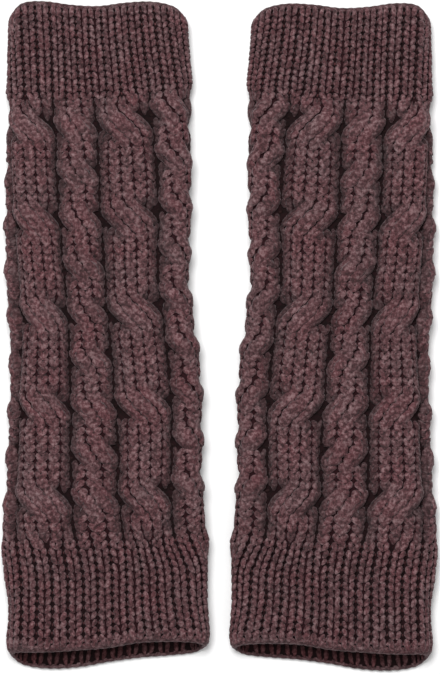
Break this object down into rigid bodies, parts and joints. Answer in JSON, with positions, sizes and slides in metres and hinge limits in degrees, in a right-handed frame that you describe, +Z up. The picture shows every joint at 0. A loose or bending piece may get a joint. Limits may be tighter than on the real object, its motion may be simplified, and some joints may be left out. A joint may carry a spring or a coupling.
{
  "type": "pair of cable-knit fingerless arm warmers",
  "caption": "Long fingerless knitted arm warmers, a pair laid flat, cabled tubes with a ribbed cuff at each open end.",
  "frame": {"origin": "middle of the pair's footprint, on the surface that it lies on", "axes": "+X to the right across the pair, +Y along the tubes towards the hand ends, +Z up from the surface"},
  "size_m": [0.1966, 0.3023, 0.019],
  "materials": {
    "mauve_yarn": "matte heathered wool yarn, slightly fuzzy"
  },
  "bodies": {
    "root": {"left_hand_cuff": "mauve_yarn", "left_cable_body": "mauve_yarn", "left_arm_cuff": "mauve_yarn", "right_hand_cuff": "mauve_yarn", "right_cable_body": "mauve_yarn", "right_arm_cuff": "mauve_yarn"}
  },
  "joints": []
}
